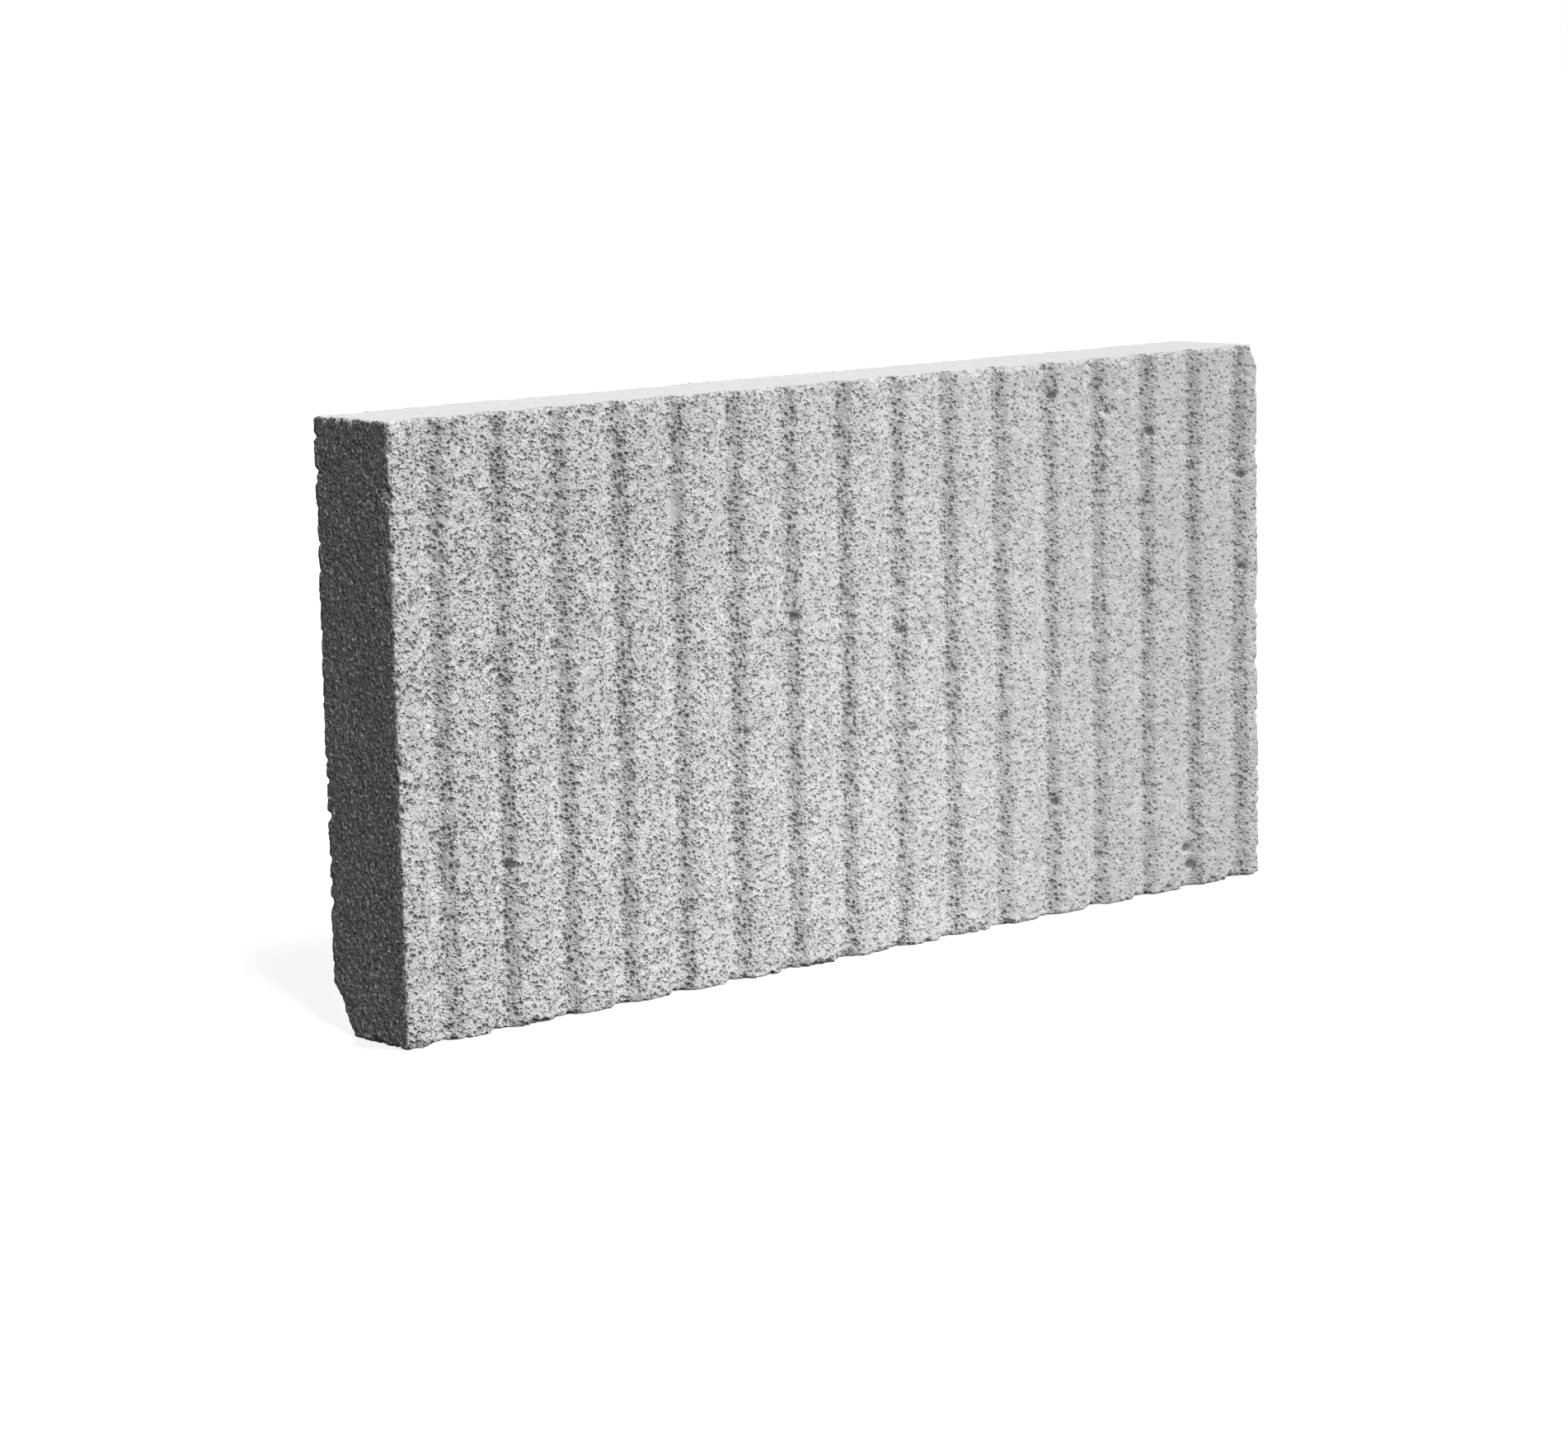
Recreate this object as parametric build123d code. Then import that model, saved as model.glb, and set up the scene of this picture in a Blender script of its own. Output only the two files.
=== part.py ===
from build123d import *
import os

# A thin walling slab of porous lightweight concrete, cast or cut in one piece.
# It stands on its long bed face: X runs along its length, -Y is the ribbed front, +Z is up.
# The origin is the middle of the bed face that it stands on. Sizes are in millimetres.

LENGTH = 500.0
THICKNESS = 50.0  # from the lands between the grooves to the flat back
HEIGHT = 250.0
ARRIS = 1.0  # the bevel that handling wears along every outer edge

# The front has upright trapezoidal grooves that plaster or adhesive keys into.
GROOVE_PITCH = 31.0
GROOVE_COUNT = int(LENGTH // GROOVE_PITCH)
FIRST_GROOVE = 19.4  # from the left end to the middle of the first groove
GROOVE_MOUTH = 16.0
GROOVE_FLOOR = 5.0
GROOVE_DEPTH = 4.2
GROOVE_CORNER_RADIUS = 0.8
CUT_CLEARANCE = 1.0  # how far a cutting shape runs past the face that it opens

FRONT = -THICKNESS / 2
BACK = THICKNESS / 2
LEFT = -LENGTH / 2
RIGHT = LENGTH / 2

# Two corners have broken off. Each break is a flat through one point on each of the three
# edges that met at the corner, given as the distances from it along X, Y and Z.
LARGE_BREAK_CORNER = Vector(LEFT, BACK, 0)
LARGE_BREAK = (22.0, 13.5, 22.0)
SMALL_BREAK_CORNER = Vector(RIGHT, FRONT, HEIGHT)
SMALL_BREAK = (4.0, 5.0, 9.0)


def plain_slab():
    """The slab before it is grooved, with its outer edges worn to a small bevel."""
    slab = Pos(0, 0, HEIGHT / 2) * Box(LENGTH, THICKNESS, HEIGHT)
    return chamfer(slab.edges(), ARRIS)


def groove_section():
    """One groove seen from above, centred on X = 0. It runs a little past the front face."""
    wall_slope = (GROOVE_MOUTH - GROOVE_FLOOR) / 2 / GROOVE_DEPTH
    half_floor = GROOVE_FLOOR / 2
    half_opening = GROOVE_MOUTH / 2 + wall_slope * CUT_CLEARANCE
    floor_y = FRONT + GROOVE_DEPTH
    opening_y = FRONT - CUT_CLEARANCE
    section = make_face(
        Polyline(
            (-half_opening, opening_y),
            (-half_floor, floor_y),
            (half_floor, floor_y),
            (half_opening, opening_y),
            close=True,
        )
    )
    floor_corners = section.vertices().group_by(Axis.Y)[-1]
    return fillet(floor_corners, GROOVE_CORNER_RADIUS)


def groove_centres():
    """The X of each groove. Each end of the slab keeps part of a land."""
    return [LEFT + FIRST_GROOVE + i * GROOVE_PITCH for i in range(GROOVE_COUNT)]


def grooves():
    """Every groove's cutting shape, from below the slab to above it."""
    run = HEIGHT + 2 * CUT_CLEARANCE
    cutter = Pos(0, 0, -CUT_CLEARANCE) * extrude(groove_section(), run, dir=(0, 0, 1))
    return [Pos(x, 0, 0) * cutter for x in groove_centres()]


def break_corner(block, corner, distances):
    """The block without the corner beyond the flat through three points on its edges."""
    middle = Vector(0, 0, HEIGHT / 2)
    inward = [1 if m > c else -1 for m, c in zip(middle, corner)]
    along_x, along_y, along_z = (
        corner + Vector(*(side * size if axis == i else 0 for axis, side in enumerate(inward)))
        for i, size in enumerate(distances)
    )
    normal = (along_y - along_x).cross(along_z - along_x)
    if normal.dot(corner - along_x) < 0:
        normal = -normal
    return split(block, Plane(origin=along_x, z_dir=normal), keep=Keep.BOTTOM)


def ribbed_block():
    """The whole slab, which is one solid."""
    block = plain_slab() - grooves()
    block = break_corner(block, LARGE_BREAK_CORNER, LARGE_BREAK)
    return break_corner(block, SMALL_BREAK_CORNER, SMALL_BREAK)


block = ribbed_block()
block.label = "ribbed_block"
os.makedirs("parts", exist_ok=True)
export_step(block, "parts/ribbed_block.step")
print("grooves", GROOVE_COUNT, "solids", len(block.solids()), "volume", round(block.volume))
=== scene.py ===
import math

import bmesh
import bpy
import numpy as np
from bpy.props import FloatProperty, FloatVectorProperty, PointerProperty
from mathutils import Matrix, Vector, noise


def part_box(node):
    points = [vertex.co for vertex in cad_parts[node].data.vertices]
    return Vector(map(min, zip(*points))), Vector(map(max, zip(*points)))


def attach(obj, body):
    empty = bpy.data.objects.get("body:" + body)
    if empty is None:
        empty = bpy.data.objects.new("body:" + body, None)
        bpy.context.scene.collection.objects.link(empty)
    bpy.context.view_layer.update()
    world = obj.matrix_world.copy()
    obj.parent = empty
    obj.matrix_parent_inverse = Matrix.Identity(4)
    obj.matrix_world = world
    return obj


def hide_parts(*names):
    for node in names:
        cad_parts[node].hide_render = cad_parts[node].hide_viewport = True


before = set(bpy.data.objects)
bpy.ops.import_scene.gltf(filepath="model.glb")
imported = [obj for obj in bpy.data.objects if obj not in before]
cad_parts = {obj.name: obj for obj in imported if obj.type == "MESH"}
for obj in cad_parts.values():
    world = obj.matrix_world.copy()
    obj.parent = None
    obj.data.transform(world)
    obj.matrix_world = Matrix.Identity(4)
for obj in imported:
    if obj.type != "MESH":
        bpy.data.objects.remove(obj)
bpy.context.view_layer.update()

bl_info = {
    "name": "Ribbed concrete block",
    "version": (1, 0, 0),
    "blender": (4, 5, 0),
    "location": "3D View > Sidebar > Ribbed block",
    "description": "A thin walling slab of open-grained lightweight concrete, and its stage",
    "category": "Object",
}

CAD_NODE = "ribbed_block"
MM = 0.001
LOW, HIGH = (np.array(corner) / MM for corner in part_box(CAD_NODE))


def length(name, description, default):
    """A setting for a size. The default is in millimetres."""
    return FloatProperty(name=name, description=description, default=default * MM, unit="LENGTH")


def colour(name, description, default):
    """A setting for a colour."""
    return FloatVectorProperty(
        name=name, description=description, default=default, subtype="COLOR", min=0.0, max=1.0
    )


class BlockSettings(bpy.types.PropertyGroup):
    """Sizes and colours of the concrete block."""

    groove_pitch: length(
        name="Groove pitch",
        description="Distance from one groove's middle to the next",
        default=31,
    )
    first_groove: length(
        name="First groove",
        description="Distance from the left end to the first groove's middle",
        default=19.4,
    )
    groove_mouth: length(
        name="Groove mouth",
        description="Width of a groove at the front face",
        default=16,
    )
    groove_floor: length(
        name="Groove floor",
        description="Width of a groove at its floor",
        default=5,
    )
    groove_depth: length(
        name="Groove depth",
        description="Depth of a groove below the front face",
        default=4.2,
    )
    arris_wear: length(
        name="Arris wear",
        description="Usual radius that handling has worn along the outer edges",
        default=1.3,
    )
    grain: length(
        name="Grain",
        description="Usual width of one grain of the open surface",
        default=2.0,
    )
    grain_colour: colour(
        name="Grain colour",
        description="Colour of the grains at the surface",
        default=(0.755, 0.755, 0.745),
    )
    # Painted shade: this colour darkens the gaps between the grains and the pits, where shade falls
    # in them.
    crevice_shade_paint: colour(
        name="Crevice colour",
        description="Colour in the gaps between the grains",
        default=(0.13, 0.13, 0.13),
    )
    # Painted shade: this colour darkens both ends, as faces turned away from the light.
    end_shade_paint: colour(
        name="End colour",
        description="Colour of the two ends between their flecks",
        default=(0.36, 0.36, 0.36),
    )
    # Painted highlight: the flecks on the ends are coloured as grain tips that catch the light.
    fleck_highlight_paint: colour(
        name="Fleck colour",
        description="Colour of the flecks on the ends",
        default=(1.0, 1.0, 1.0),
    )
    smear_colour: colour(
        name="Smear colour",
        description="Colour of the closed smears on the front",
        default=(0.60, 0.60, 0.59),
    )
    # Painted shade: the block is darkened a little towards its right end, as light falling off.
    rightward_shade_paint: colour(
        name="Shade colour",
        description="Colour that the block turns a little towards near its right end",
        default=(0.3, 0.3, 0.3),
    )
    bed_colour: colour(
        name="Bed colour",
        description="Colour of the smooth upper bed",
        default=(0.73, 0.73, 0.725),
    )


class StageSettings(bpy.types.PropertyGroup):
    """The floor and the lights."""

    floor_colour: colour(
        name="Floor colour",
        description="Colour of the floor",
        default=(0.5, 0.5, 0.5),
    )
    key_strength: FloatProperty(
        name="Key strength",
        description="Strength of the main light",
        default=2.62,
    )
    fill_strength: FloatProperty(
        name="Fill strength",
        description="Strength of the lights from the left and from behind",
        default=1.0,
    )
    low_power: FloatProperty(
        name="Low lamp power",
        description="Power of the small lamp that stands low in front of the block",
        default=0.12,
        unit="POWER",
    )


# The shape of the block. Arrays of points are in millimetres, one row to a point.

# Single marks on the front: x and z of the middle, then half the width and half the height.
PITS = (
    (179, 214, 3.0, 2.4),
    (150, 226, 2.4, 2.6),
    (154, 227, 2.0, 1.6),
    (116, 235, 2.6, 1.8),
    (240, 190, 2.6, 2.0),
    (240, 147, 2.4, 2.0),
    (179, 145, 2.2, 2.0),
    (204, 18, 3.0, 2.6),
    (206, 10, 2.8, 2.2),
    (116, 52, 2.4, 1.8),
    (28, 96, 3.6, 1.5),
    (8, 95, 2.6, 1.5),
    (23, 140, 2.6, 2.0),
    (-39, 152, 2.2, 2.4),
    (-68, 106, 2.6, 2.2),
    (-201, 150, 3.0, 1.6),
    (-195, 67, 2.8, 2.4),
    (-241, 179, 1.8, 3.6),
)
SMEARS = ((-103, 205, 3.4, 7.5), (-233, 209, 2.4, 2.0), (-89, 118, 2.0, 3.5))
PIT_DEPTH = 1.6

# The broken corners: the corner, then how far from it the break meets the edges along x, y and z.
LARGE_BREAK = (LOW[0], HIGH[1], LOW[2]), (22.0, 13.5, 22.0)
SMALL_BREAK = (HIGH[0], LOW[1], HIGH[2]), (4.0, 5.0, 9.0)

MARKS = ("bed", "end", "pit", "smear", "rough_shaded_wall")  # what each point carries for the material

GRID = 1.0  # side of the squares that the faces are divided into
LOOSENESS = 0.3  # how far a point is moved within its face, as a share of GRID
ON_FACE = 0.01  # a point this near to a face of the box lies on it
FRONT_LAYER = 4.0  # only points this near to the front can lie on a groove's rougher right wall with painted shade
GROOVED_LAYER = 6.0  # deep enough to hold the groove floors, and any single mark on them
FLOOR_GAP = 0.15  # no grain of the lower bed reaches nearer to the floor than this
SHOWN_TRIANGLES = 196000
SEED_STEP = 37.7  # how far apart in the noise two patterns are taken


def clouds(points, size, seed, octaves=1):
    """Smooth noise between about -1 and 1 at each point, with lumps of the given size."""
    moved = (points / size + seed * SEED_STEP).tolist()
    if octaves == 1:
        return np.array([noise.noise(p) for p in moved])
    return np.array([noise.fractal(p, 1.0, 2.0, octaves) for p in moved])


def scattered(place):
    """A number from 0 to 1 that differs from one place to the next as if by chance."""
    return math.sin(place.dot((127.1, 311.7, 74.7))) * 43758.5 % 1


def grains(points, size, seed):
    """Distance to the nearest grain's middle, that to the next, and a number for the grain."""
    moved = (points / size + seed * SEED_STEP).tolist()
    found = [noise.voronoi(p) for p in moved]
    near = np.array([distances[0] for distances, _ in found])
    second = np.array([distances[1] for distances, _ in found])
    tone = np.array([scattered(middles[0]) for _, middles in found])
    return near, second, tone


def inward_from(points):
    """Which way the middle of the block lies along each axis: 1 or -1."""
    return np.where(points < (LOW + HIGH) / 2, 1, -1)


def plain_slab():
    """A box of the CAD block's size, with its faces divided into small squares."""
    size = (HIGH - LOW) * MM
    middle = (HIGH + LOW) / 2 * MM
    bm = bmesh.new()
    place = Matrix.Translation(middle) @ Matrix.Diagonal((*size, 1))
    bmesh.ops.create_cube(bm, size=1.0, matrix=place)
    for axis in range(3):
        along = [e for e in bm.edges if abs((e.verts[0].co - e.verts[1].co)[axis]) > 1e-6]
        cuts = round(size[axis] / MM / GRID) - 1
        bmesh.ops.subdivide_edges(bm, edges=along, cuts=cuts)
    return bm


def loosened(points):
    """The points moved a little within their faces, so that the squares don't show."""
    free = (points > LOW + ON_FACE) & (points < HIGH - ON_FACE)
    rng = np.random.default_rng(4)
    return points + rng.uniform(-LOOSENESS, LOOSENESS, points.shape) * GRID * free


def worn_arrises(points, wear):
    """The box with its outer edges worn round, more in some places than in others."""
    least, most = 0.4, 5.0
    chip_level, chip_growth = 0.42, 7.0
    radius = wear * (1.0 + 0.6 * clouds(points, 7.0, 1) + 0.35 * clouds(points, 3.0, 2))
    chips = clouds(points, 9.0, 3) + 0.5 * clouds(points, 4.0, 4)
    radius = radius + chip_growth * np.clip(chips - chip_level, 0, 1)
    radius = np.clip(radius, least, most)[:, None]
    inner = np.clip(points, LOW + radius, HIGH - radius)
    out = points - inner
    out /= np.linalg.norm(out, axis=1)[:, None]
    return inner + out * radius


def nicked_arrises(points):
    """The points near the outer edges cut back where single grains have come out."""
    usual_cut, nick_growth = 0.6, 5.0
    nicks = clouds(points, 2.9, 14) + 0.5 * clouds(points, 6.0, 15) - 0.05
    cut = usual_cut + nick_growth * np.clip(nicks, 0, 0.8)
    gap = np.minimum(points - LOW, HIGH - points)
    order = np.sort(gap, axis=1)
    short = np.clip(cut - order[:, 0] - order[:, 1], 0, None)
    at_edge = gap <= order[:, 1:2]
    return points + inward_from(points) * at_edge * short[:, None] / 2


def broken_corner(points, corner, distances, seed):
    """The points beyond a break moved back to its rough surface."""
    corner, distances = np.array(corner), np.array(distances)
    out = -inward_from(corner) / distances
    reach = 1 / np.linalg.norm(out)
    out *= reach
    rough = 1.3 * clouds(points, 7.0, seed, 3) + 0.9
    beyond = (points - corner) @ out + reach + rough
    return points - np.clip(beyond, 0, None)[:, None] * out


def from_groove(x, settings):
    """How far each x lies to the right of the nearest groove's middle."""
    start = LOW[0] + settings.first_groove / MM
    pitch = settings.groove_pitch / MM
    return (x - start + pitch / 2) % pitch - pitch / 2


def groove_depth(x, settings):
    """How deep the front is cut at each x."""
    half_mouth = settings.groove_mouth / MM / 2
    half_floor = settings.groove_floor / MM / 2
    depth = settings.groove_depth / MM
    across = np.abs(from_groove(x, settings))
    return depth * np.clip((half_mouth - across) / (half_mouth - half_floor), 0, 1)


def grooved(points, settings):
    """The slab thinned from the front wherever a groove runs, and how much each point lies on a
    groove's right wall.

    The material gives that wall rougher relief and darkens its pits with painted shade, as the wall
    turned away from the main light. Its left wall and floor are as smooth as a land.
    """
    column = points * (1, 1, 0.15)
    x = points[:, 0] + 0.35 * clouds(column, 6.0, 5) + 0.25 * clouds(points, 4.0, 6)
    spread = np.linspace(-0.5, 0.5, 3)
    depth = sum(groove_depth(x + s, settings) for s in spread) / len(spread)
    depth = depth * (1 + 0.1 * clouds(column, 12.0, 7))
    back, thickness = HIGH[1], HIGH[1] - LOW[1]
    moved = points.copy()
    moved[:, 1] = back + (points[:, 1] - back) * (1 - depth / thickness)
    on_front = points[:, 1] < LOW[1] + FRONT_LAYER
    # The right wall of each groove, which the material makes rougher and darkens with painted shade
    # in its pits.
    right_wall = np.clip((from_groove(x, settings) - 1.5) / 2, 0, 1)
    rough_shaded_wall = np.clip(2 * depth / (settings.groove_depth / MM), 0, 1) * right_wall * on_front
    return moved, rough_shaded_wall


def surface_height(points):
    """How far the open grain stands out of the smooth surface, in millimetres."""
    near, second, tone = grains(points + 0.8 * clouds(points, 2.5, 8)[:, None], 2.6, 9)
    grain = 0.28 * (tone - 0.6) - 0.35 * near**2 + 0.2 * np.clip(second - near, 0, 0.4)
    swell = 0.25 * clouds(points, 45.0, 10) + 0.2 * clouds(points, 12.0, 11)
    crumbs = 0.12 * clouds(points, 3.5, 12)
    pits = -3.0 * np.clip(clouds(points, 5.0, 13) - 0.6, 0, 0.5)
    return grain + swell + crumbs + pits


def single_marks(points, marks):
    """How much each point on the front lies in one of the marks, from 0 to 1."""
    share = np.zeros(len(points))
    ragged = 1 + 0.25 * clouds(points, 2.5, 16)
    for x, z, across, up in marks:
        away = np.hypot((points[:, 0] - x) / across, (points[:, 2] - z) / up) * ragged
        share = np.maximum(share, np.clip(1.8 - 1.8 * away, 0, 1))
    return share * (points[:, 1] < LOW[1] + GROOVED_LAYER)


def get_points(mesh):
    flat = np.zeros(len(mesh.vertices) * 3)
    mesh.vertices.foreach_get("co", flat)
    return flat.reshape(-1, 3) / MM


def set_points(mesh, points):
    mesh.vertices.foreach_set("co", (points * MM).ravel())
    mesh.update()


def point_normals(mesh):
    flat = np.zeros(len(mesh.vertices) * 3)
    mesh.vertex_normals.foreach_get("vector", flat)
    return flat.reshape(-1, 3)


def thinned(obj, share, keep):
    """Leaves the mesh a share of its triangles. keep is from 0, thinned first, to 1 per point."""
    group = obj.vertex_groups.new(name="keep")
    for level in range(1, 11):
        chosen = np.nonzero(np.round(keep * 10) == level)[0].tolist()
        if chosen:
            group.add(chosen, level / 10, "REPLACE")
    modifier = obj.modifiers.new("thin", "DECIMATE")
    modifier.ratio = share
    modifier.vertex_group = group.name
    modifier.invert_vertex_group = True
    modifier.vertex_group_factor = 0.02
    evaluated = obj.evaluated_get(bpy.context.evaluated_depsgraph_get())
    thin = bpy.data.meshes.new_from_object(evaluated)
    obj.modifiers.clear()
    obj.vertex_groups.clear()
    old, obj.data = obj.data, thin
    bpy.data.meshes.remove(old)


def box_faces(points):
    """For a box's points: which lie on the upper bed, which on an end, and how much to keep."""
    front = points[:, 1] < LOW[1] + ON_FACE
    left = points[:, 0] < LOW[0] + ON_FACE
    right = points[:, 0] > HIGH[0] - ON_FACE
    top = points[:, 2] > HIGH[2] - ON_FACE
    from_edge = np.sort(np.minimum(points - LOW, HIGH - points), axis=1)[:, 1]
    bed = top & (from_edge > 1.5)
    end = (left | right) & (from_edge > 0.5)
    keep = 0.8 * front + 0.9 * (left & ~front) + 0.6 * (top & ~front)
    keep = np.clip(keep + 0.8 * (from_edge < 4), 0, 1)
    return bed.astype(float), end.astype(float), keep


def block_mesh(obj, settings):
    """Gives the block its grooves, worn edges, broken corners and open grain."""
    bm = plain_slab()
    bm.to_mesh(obj.data)
    bm.free()
    points = get_points(obj.data)
    bed, end, keep = box_faces(points)
    points = loosened(points)
    points = worn_arrises(points, settings.arris_wear / MM)
    points = nicked_arrises(points)
    points = broken_corner(points, *LARGE_BREAK, 21)
    points = broken_corner(points, *SMALL_BREAK, 22)
    points, rough_shaded_wall = grooved(points, settings)
    set_points(obj.data, points)
    pit = single_marks(points, PITS)
    smear = single_marks(points, SMEARS)
    height = surface_height(points) * (1 - 0.8 * smear) - PIT_DEPTH * pit
    for name, share in zip(MARKS, (bed, end, pit, smear, rough_shaded_wall)):
        mark = obj.data.attributes.new(name, "FLOAT", "POINT")
        mark.data.foreach_set("value", share)
    points = points + point_normals(obj.data) * height[:, None]
    points[:, 2] = np.maximum(points[:, 2], LOW[2] + FLOOR_GAP)
    set_points(obj.data, points)
    count = 2 * len(obj.data.polygons)
    thinned(obj, SHOWN_TRIANGLES / count, keep)
    obj.data.polygons.foreach_set("use_smooth", [True] * len(obj.data.polygons))
    obj.data.update()


# Materials. Sizes of patterns and places along the block are in metres.

QUIETER = (LOW[0] * MM, 0.2)  # between these x the grain grows quieter towards the right
BROAD_SIZE = 0.02  # width of the broad, faint patches of tone


class Sum:
    """A socket's value, for writing shader maths as Python expressions."""

    def __init__(self, nodes, socket):
        self.nodes, self.socket = nodes, socket

    def __add__(self, other):
        return self.nodes.maths("ADD", self, other)

    __radd__ = __add__

    def __sub__(self, other):
        return self.nodes.maths("SUBTRACT", self, other)

    def __rsub__(self, other):
        return self.nodes.maths("SUBTRACT", other, self)

    def __mul__(self, other):
        return self.nodes.maths("MULTIPLY", self, other)

    __rmul__ = __mul__


class Nodes:
    """A material's node tree. add() makes any node and gives its outputs back by name."""

    def __init__(self, tree):
        self.tree = tree
        tree.nodes.clear()

    def add(self, kind, settings=None, inputs=None):
        node = self.tree.nodes.new(kind)
        for name, value in (settings or {}).items():
            setattr(node, name, value)
        for name, value in (inputs or {}).items():
            socket = node.inputs[name]
            if isinstance(value, Sum):
                self.tree.links.new(value.socket, socket)
            else:
                socket.default_value = value
        return {socket.name: Sum(self, socket) for socket in node.outputs if socket.enabled}

    def maths(self, operation, first, second):
        inputs = {0: first, 1: second}
        return self.add("ShaderNodeMath", {"operation": operation}, inputs)["Value"]

    def largest(self, first, second):
        return self.maths("MAXIMUM", first, second)

    def smooth(self, value, low, high, first=0.0, last=1.0):
        """first below low, last above high, and a smooth way between them."""
        return self.add(
            "ShaderNodeMapRange",
            {"interpolation_type": "SMOOTHSTEP"},
            {"Value": value, "From Min": low, "From Max": high, "To Min": first, "To Max": last},
        )["Result"]

    def vector(self, operation, inputs):
        return self.add("ShaderNodeVectorMath", {"operation": operation}, inputs)["Vector"]

    def mix(self, share, first, second):
        """A colour between first and second."""
        inputs = {0: share, 6: first, 7: second}
        return self.add("ShaderNodeMix", {"data_type": "RGBA"}, inputs)["Result"]

    def noise(self, place, size, detail):
        """Noise with lumps of the given size, as a number in Fac and as a vector in Color."""
        return self.add(
            "ShaderNodeTexNoise",
            {"noise_dimensions": "3D"},
            {"Vector": place, "Scale": 1 / size, "Detail": detail, "Roughness": 0.5},
        )

    def clouded(self, place, size, detail=1.0):
        """Noise as a number about 0.5."""
        return self.noise(place, size, detail)["Fac"]

    def pores(self, place, size, share):
        """Round hollows cut through by the surface: how deep each point lies, from 0 to 1."""
        cells = self.add(
            "ShaderNodeTexVoronoi",
            {"voronoi_dimensions": "3D", "feature": "F1"},
            {"Vector": place, "Scale": 1 / size, "Randomness": 1.0},
        )
        rank = self.add("ShaderNodeSeparateColor", None, {"Color": cells["Color"]})["Red"]
        radius = self.smooth(rank, 1 - share, 1.0, 0.0, 0.75)
        return self.smooth(cells["Distance"], radius * 0.25, radius, 1.0, 0.0)


def opaque(tone, share=1.0):
    """A colour, or a share of it, as a shader's socket takes it."""
    return tuple(share * part for part in tone) + (1,)


def pushed_about(nodes, place, size):
    """The place pushed about by less than a grain, so that no grain is round."""
    push = nodes.noise(place, size * 0.8, 1.0)["Color"]
    push = nodes.vector("SUBTRACT", {0: push, 1: (0.5,) * 3})
    push = nodes.vector("SCALE", {0: push, "Scale": size * 0.7})
    return nodes.vector("ADD", {0: place, 1: push})


def torn_open(nodes, place, along, size, marks):
    """How far the surface is open, from 0 where it is closed to a little above 1. The right wall of
    each groove opens further, for rougher relief and more painted shade in its pits.
    """
    closed = nodes.smooth(nodes.clouded(place, size * 2.2), 0.60, 0.70)
    openness = nodes.smooth(along, *QUIETER, 1.1, 0.6)
    openness = openness * (1 - 0.9 * marks["bed"]) * (1 - 0.8 * closed) * (1 - 0.85 * marks["smear"])
    # On the right wall of each groove: rougher relief, and painted shade in the pits.
    wall_roughness_and_shade = nodes.smooth(along, *QUIETER, 0.25, 0.75) * marks["rough_shaded_wall"]
    return openness * (0.95 + wall_roughness_and_shade + 0.3 * marks["end"])


def grain_tones(nodes, place, size, tone):
    """The colour of the grains, uneven from one patch to the next."""
    broad = nodes.clouded(place, BROAD_SIZE, 3.0)
    patch = nodes.clouded(place, size * 2.5)
    fine = nodes.clouded(place, size * 0.35)
    pale = nodes.smooth(patch + 0.8 * (broad - 0.5) + 0.35 * (fine - 0.5), 0.25, 0.7)
    return nodes.mix(pale, opaque(tone, 0.88), opaque(tone, 1.03))


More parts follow.
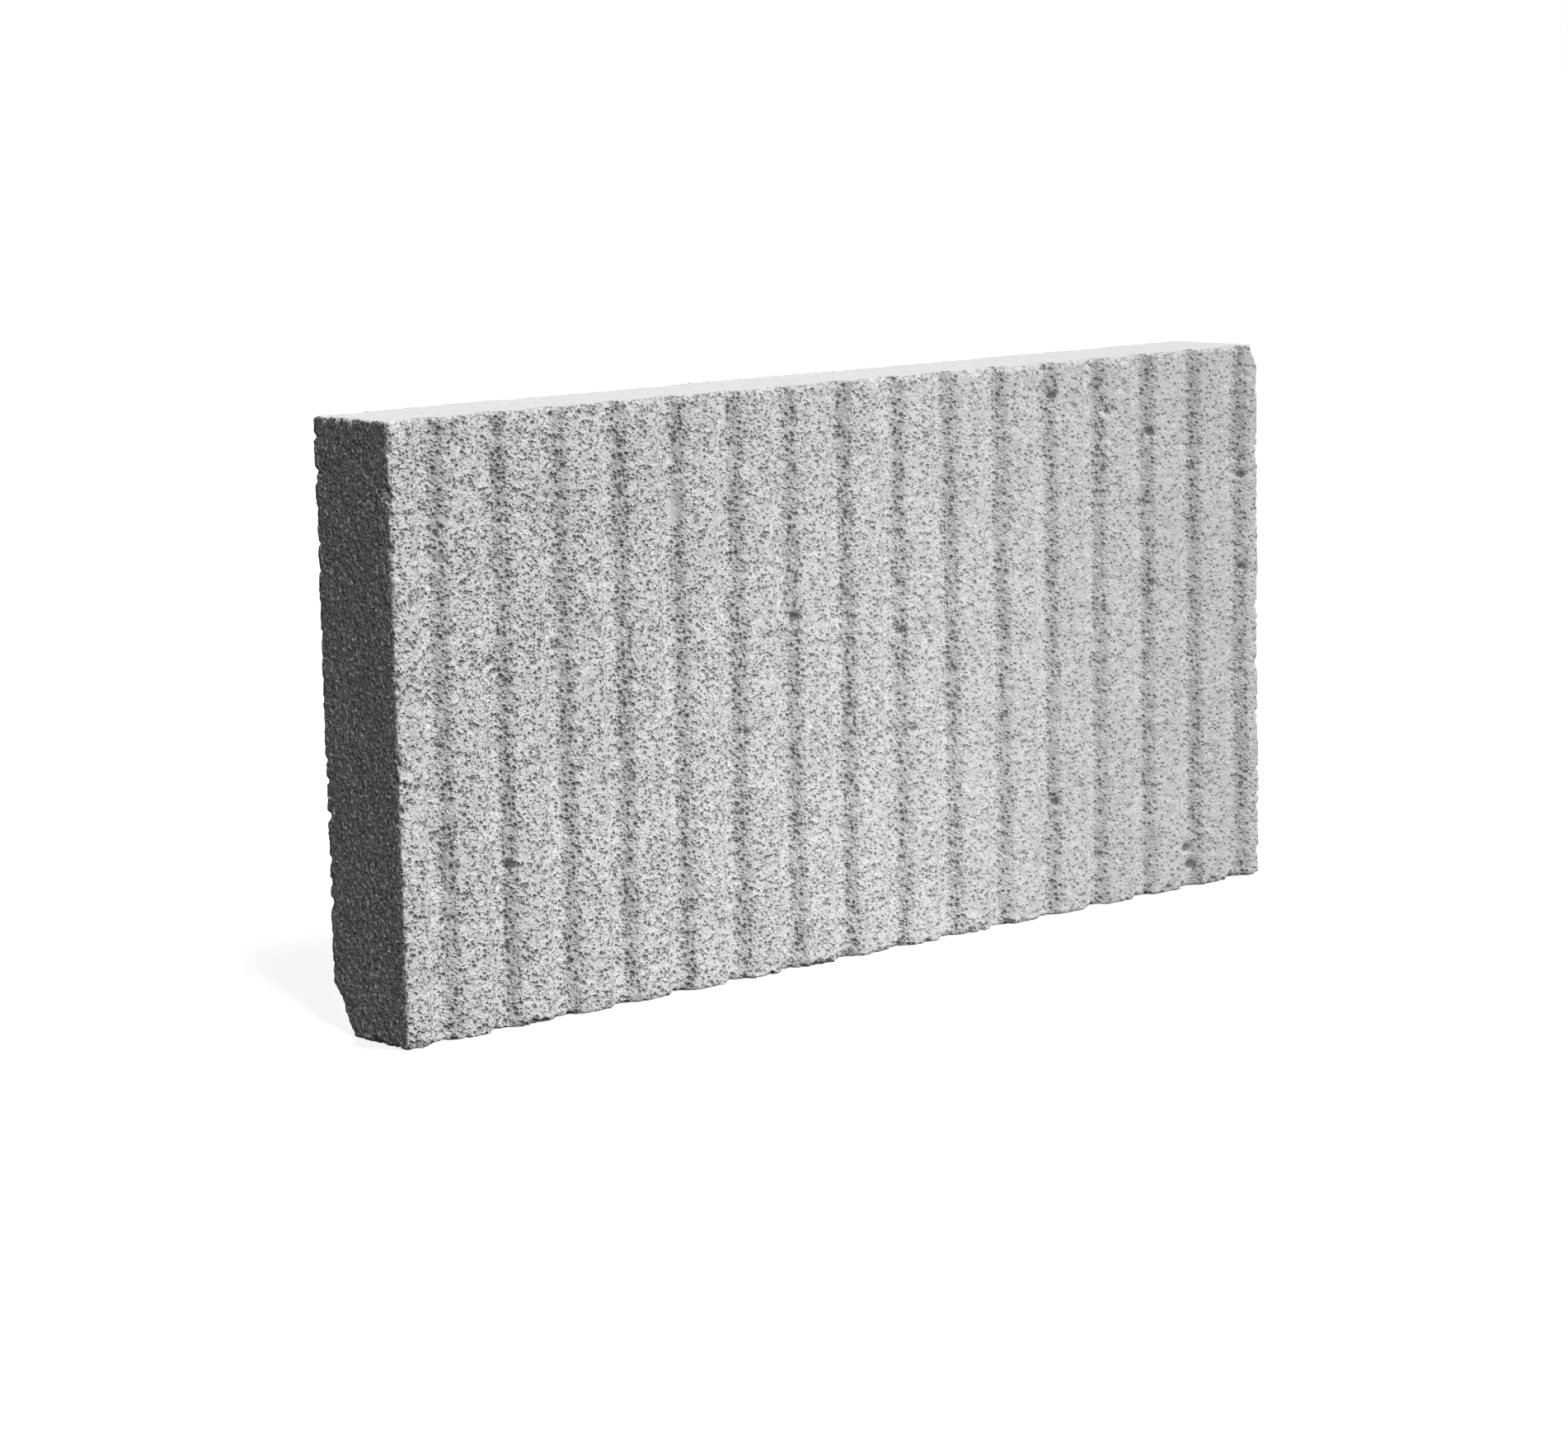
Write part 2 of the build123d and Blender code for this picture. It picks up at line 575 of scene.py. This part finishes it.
def concrete_material(settings):
    """Open-grained lightweight concrete: pale grains with hollows between them. Shade in the hollows
    and pits, on the ends and towards the right end is painted into the colour, and so are highlights
    on the flecks of the ends.
    """
    material = bpy.data.materials.new("open_grained_concrete")
    material.use_nodes = True
    nodes = Nodes(material.node_tree)
    size = settings.grain
    place = nodes.add("ShaderNodeTexCoord")["Object"]
    along = nodes.add("ShaderNodeSeparateXYZ", None, {"Vector": place})["X"]
    marks = {
        name: nodes.add("ShaderNodeAttribute", {"attribute_name": name})["Fac"] for name in MARKS
    }
    end = marks["end"]
    warped = pushed_about(nodes, place, size)
    openness = torn_open(nodes, place, along, size, marks)

    relief = nodes.clouded(warped, size * 0.55)
    crumb = nodes.clouded(warped, size * 0.35, 0.0)
    small = nodes.smooth(along, -0.1, 0.2, 0.7, 0.3) * nodes.pores(warped, size * 0.65, 0.7)
    deep = nodes.largest(nodes.pores(warped, size, 1.0), small)
    # Flecks on the ends: raised a little in the bump, and coloured as painted highlights of grain
    # tips catching the light.
    fleck_bump_and_highlight = nodes.smooth(nodes.clouded(warped, size * 0.8, 0.0), 0.55, 0.63) * end
    height = (0.7 * relief + 0.3 * crumb - 1.1 * deep + fleck_bump_and_highlight) * openness
    bump = {"Strength": 1.0, "Distance": size * 0.5, "Height": height}

    # Painted shade in the pits and in the dips of the relief, and with them in the hollows between
    # the grains.
    pit_shade_share = nodes.smooth(marks["pit"] + 1.2 * (relief - 0.5), 0.35, 0.6)
    crevice_shade_share = nodes.largest(deep * openness * (0.7 - 0.4 * end), pit_shade_share * 0.65)
    base = grain_tones(nodes, place, size, settings.grain_colour)
    for share, tone in (
        # Painted shade in the hollows and pits.
        (crevice_shade_share, settings.crevice_shade_paint),
        # Painted shade on both ends.
        (end * 0.8, settings.end_shade_paint),
        # Painted highlights on the flecks of the ends.
        (fleck_bump_and_highlight, settings.fleck_highlight_paint),
        (marks["smear"] * 0.6, settings.smear_colour),
        # Painted shade that grows a little towards the right end.
        (nodes.smooth(along, 0.0, 0.25, 0.0, 0.2), settings.rightward_shade_paint),
        (marks["bed"] * 0.85, settings.bed_colour),
    ):
        base = nodes.mix(share, base, opaque(tone))
    shader = nodes.add(
        "ShaderNodeBsdfPrincipled",
        None,
        {
            "Base Color": base,
            "Roughness": 0.95,
            "Specular IOR Level": 0.2,
            "Normal": nodes.add("ShaderNodeBump", None, bump)["Normal"],
        },
    )["BSDF"]
    nodes.add("ShaderNodeOutputMaterial", None, {"Surface": shader})
    return material


class BLOCK_OT_concrete(bpy.types.Operator):
    """Make the ribbed concrete block"""

    bl_idname = "ribbed_block.concrete"
    bl_label = "Concrete block"

    def execute(self, context):
        settings = context.scene.ribbed_block
        mesh = bpy.data.meshes.new("concrete_block")
        block = bpy.data.objects.new("concrete_block", mesh)
        context.scene.collection.objects.link(block)
        block_mesh(block, settings)
        block.data.materials.clear()
        block.data.materials.append(concrete_material(settings))
        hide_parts(CAD_NODE)
        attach(block, "root")
        return {"FINISHED"}


# The stage, in metres and degrees.

FLOOR_REACH = 30.0
FLOOR_GLOW = 0.75
WORLD_DIM = 0.035  # strength of the sky for everything but the camera

CAMERA_PLACE = (-1.2291, -1.3647, 0.3888)
CAMERA_YAW = 41.405
CAMERA_PITCH = -8.842
CAMERA_ROLL = -1.184
CAMERA_LENS = 98.02
CAMERA_SENSOR = 36

# Each sun: its name, the way to it from the block, and its softness.
KEY = ("key", (0.42, -0.58, 0.70), 25)
SIDE = ("side", (-0.26, -0.74, 0.62), 8)
BACK = ("back", (0.55, 0.78, 0.28), 12)
SIDE_SHARE = 1.3  # strength of the suns that fill, as shares of the fill setting
BACK_SHARE = 1.7

LOW_LAMP_X, LOW_LAMP_Y = -0.02, -0.285
LOW_LAMP_WIDTH = 0.15
LOW_LAMP_HEIGHT = 0.075


def look_along(yaw, pitch, roll):
    """The turn of a camera that looks yaw to the right of +Y and pitch above the level."""
    yaw, pitch, roll = (math.radians(a) for a in (yaw, pitch, roll))
    forward = Vector(
        (math.sin(yaw) * math.cos(pitch), math.cos(yaw) * math.cos(pitch), math.sin(pitch))
    )
    right = Vector((math.cos(yaw), -math.sin(yaw), 0))
    up = right.cross(forward)
    turned_right = right * math.cos(roll) + up * math.sin(roll)
    turned_up = up * math.cos(roll) - right * math.sin(roll)
    return Matrix((turned_right, turned_up, -forward)).transposed()


def sun(name, toward, softness, strength):
    """A sun lamp. toward points from the block to the light."""
    lamp = bpy.data.lights.new(name, "SUN")
    lamp.energy = strength
    lamp.angle = math.radians(softness)
    obj = bpy.data.objects.new(name, lamp)
    obj.rotation_mode = "QUATERNION"
    obj.rotation_quaternion = Vector(toward).to_track_quat("Z", "Y")
    bpy.context.scene.collection.objects.link(obj)


def low_lamp(power):
    """A lamp that stands on the floor, shines along +Y and isn't seen itself."""
    lamp = bpy.data.lights.new("low", "AREA")
    lamp.energy = power
    lamp.shape = "RECTANGLE"
    lamp.size = LOW_LAMP_WIDTH
    lamp.size_y = LOW_LAMP_HEIGHT
    obj = bpy.data.objects.new("low", lamp)
    obj.location = (LOW_LAMP_X, LOW_LAMP_Y, LOW_LAMP_HEIGHT / 2)
    obj.rotation_euler = (math.radians(90), 0, 0)
    obj.visible_camera = False
    bpy.context.scene.collection.objects.link(obj)


def floor_material(tone):
    """A matt floor that glows a little, so that it stays pale in shadow."""
    material = bpy.data.materials.new("pale_floor")
    material.use_nodes = True
    nodes = Nodes(material.node_tree)
    shader = nodes.add(
        "ShaderNodeBsdfPrincipled",
        None,
        {
            "Base Color": opaque(tone),
            "Roughness": 0.9,
            "Specular IOR Level": 0.1,
            "Emission Color": (1, 1, 1, 1),
            "Emission Strength": FLOOR_GLOW,
        },
    )["BSDF"]
    nodes.add("ShaderNodeOutputMaterial", None, {"Surface": shader})
    return material


def studio_floor(tone):
    """A flat floor that throws no light back at the block."""
    bm = bmesh.new()
    bmesh.ops.create_grid(bm, x_segments=1, y_segments=1, size=FLOOR_REACH)
    mesh = bpy.data.meshes.new("floor")
    bm.to_mesh(mesh)
    bm.free()
    mesh.materials.append(floor_material(tone))
    floor = bpy.data.objects.new("floor", mesh)
    bpy.context.scene.collection.objects.link(floor)
    floor.visible_diffuse = False


def studio_world():
    """White to the camera and dim to everything else."""
    world = bpy.data.worlds.new("studio")
    world.use_nodes = True
    nodes = Nodes(world.node_tree)
    to_camera = nodes.add("ShaderNodeLightPath")["Is Camera Ray"]
    strength = nodes.smooth(to_camera, 0.0, 1.0, WORLD_DIM, 1.0)
    sky = nodes.add(
        "ShaderNodeBackground", None, {"Color": (1, 1, 1, 1), "Strength": strength}
    )["Background"]
    nodes.add("ShaderNodeOutputWorld", None, {"Surface": sky})
    bpy.context.scene.world = world


def studio_camera():
    """The camera, in front of the block and well to its left."""
    data = bpy.data.cameras.new("camera")
    data.sensor_width = CAMERA_SENSOR
    data.lens = CAMERA_LENS
    camera = bpy.data.objects.new("camera", data)
    turn = look_along(CAMERA_YAW, CAMERA_PITCH, CAMERA_ROLL).to_4x4()
    camera.matrix_world = Matrix.Translation(CAMERA_PLACE) @ turn
    bpy.context.scene.collection.objects.link(camera)
    bpy.context.scene.camera = camera


class BLOCK_OT_stage(bpy.types.Operator):
    """Make the floor, the lights and the camera"""

    bl_idname = "ribbed_block.stage"
    bl_label = "Stage"

    def execute(self, context):
        settings = context.scene.ribbed_stage
        studio_floor(settings.floor_colour)
        sun(*KEY, settings.key_strength)
        sun(*SIDE, settings.fill_strength * SIDE_SHARE)
        sun(*BACK, settings.fill_strength * BACK_SHARE)
        low_lamp(settings.low_power)
        studio_world()
        studio_camera()
        context.scene.view_settings.view_transform = "Standard"
        return {"FINISHED"}


class BLOCK_PT_sidebar(bpy.types.Panel):
    """Lists what can be made and its settings"""

    bl_label = "Ribbed block"
    bl_idname = "BLOCK_PT_sidebar"
    bl_space_type = "VIEW_3D"
    bl_region_type = "UI"
    bl_category = "Ribbed block"

    def draw(self, context):
        for settings in (context.scene.ribbed_block, context.scene.ribbed_stage):
            for name in settings.__annotations__:
                self.layout.prop(settings, name)
        for maker in MAKERS:
            self.layout.operator(maker.bl_idname)


MAKERS = (BLOCK_OT_concrete, BLOCK_OT_stage)
CLASSES = (BlockSettings, StageSettings, *MAKERS, BLOCK_PT_sidebar)


def register():
    for cls in CLASSES:
        bpy.utils.register_class(cls)
    bpy.types.Scene.ribbed_block = PointerProperty(type=BlockSettings)
    bpy.types.Scene.ribbed_stage = PointerProperty(type=StageSettings)


def unregister():
    del bpy.types.Scene.ribbed_stage
    del bpy.types.Scene.ribbed_block
    for cls in reversed(CLASSES):
        bpy.utils.unregister_class(cls)


def main():
    register()
    bpy.ops.ribbed_block.concrete()
    bpy.ops.ribbed_block.stage()


if __name__ == "__main__":
    main()
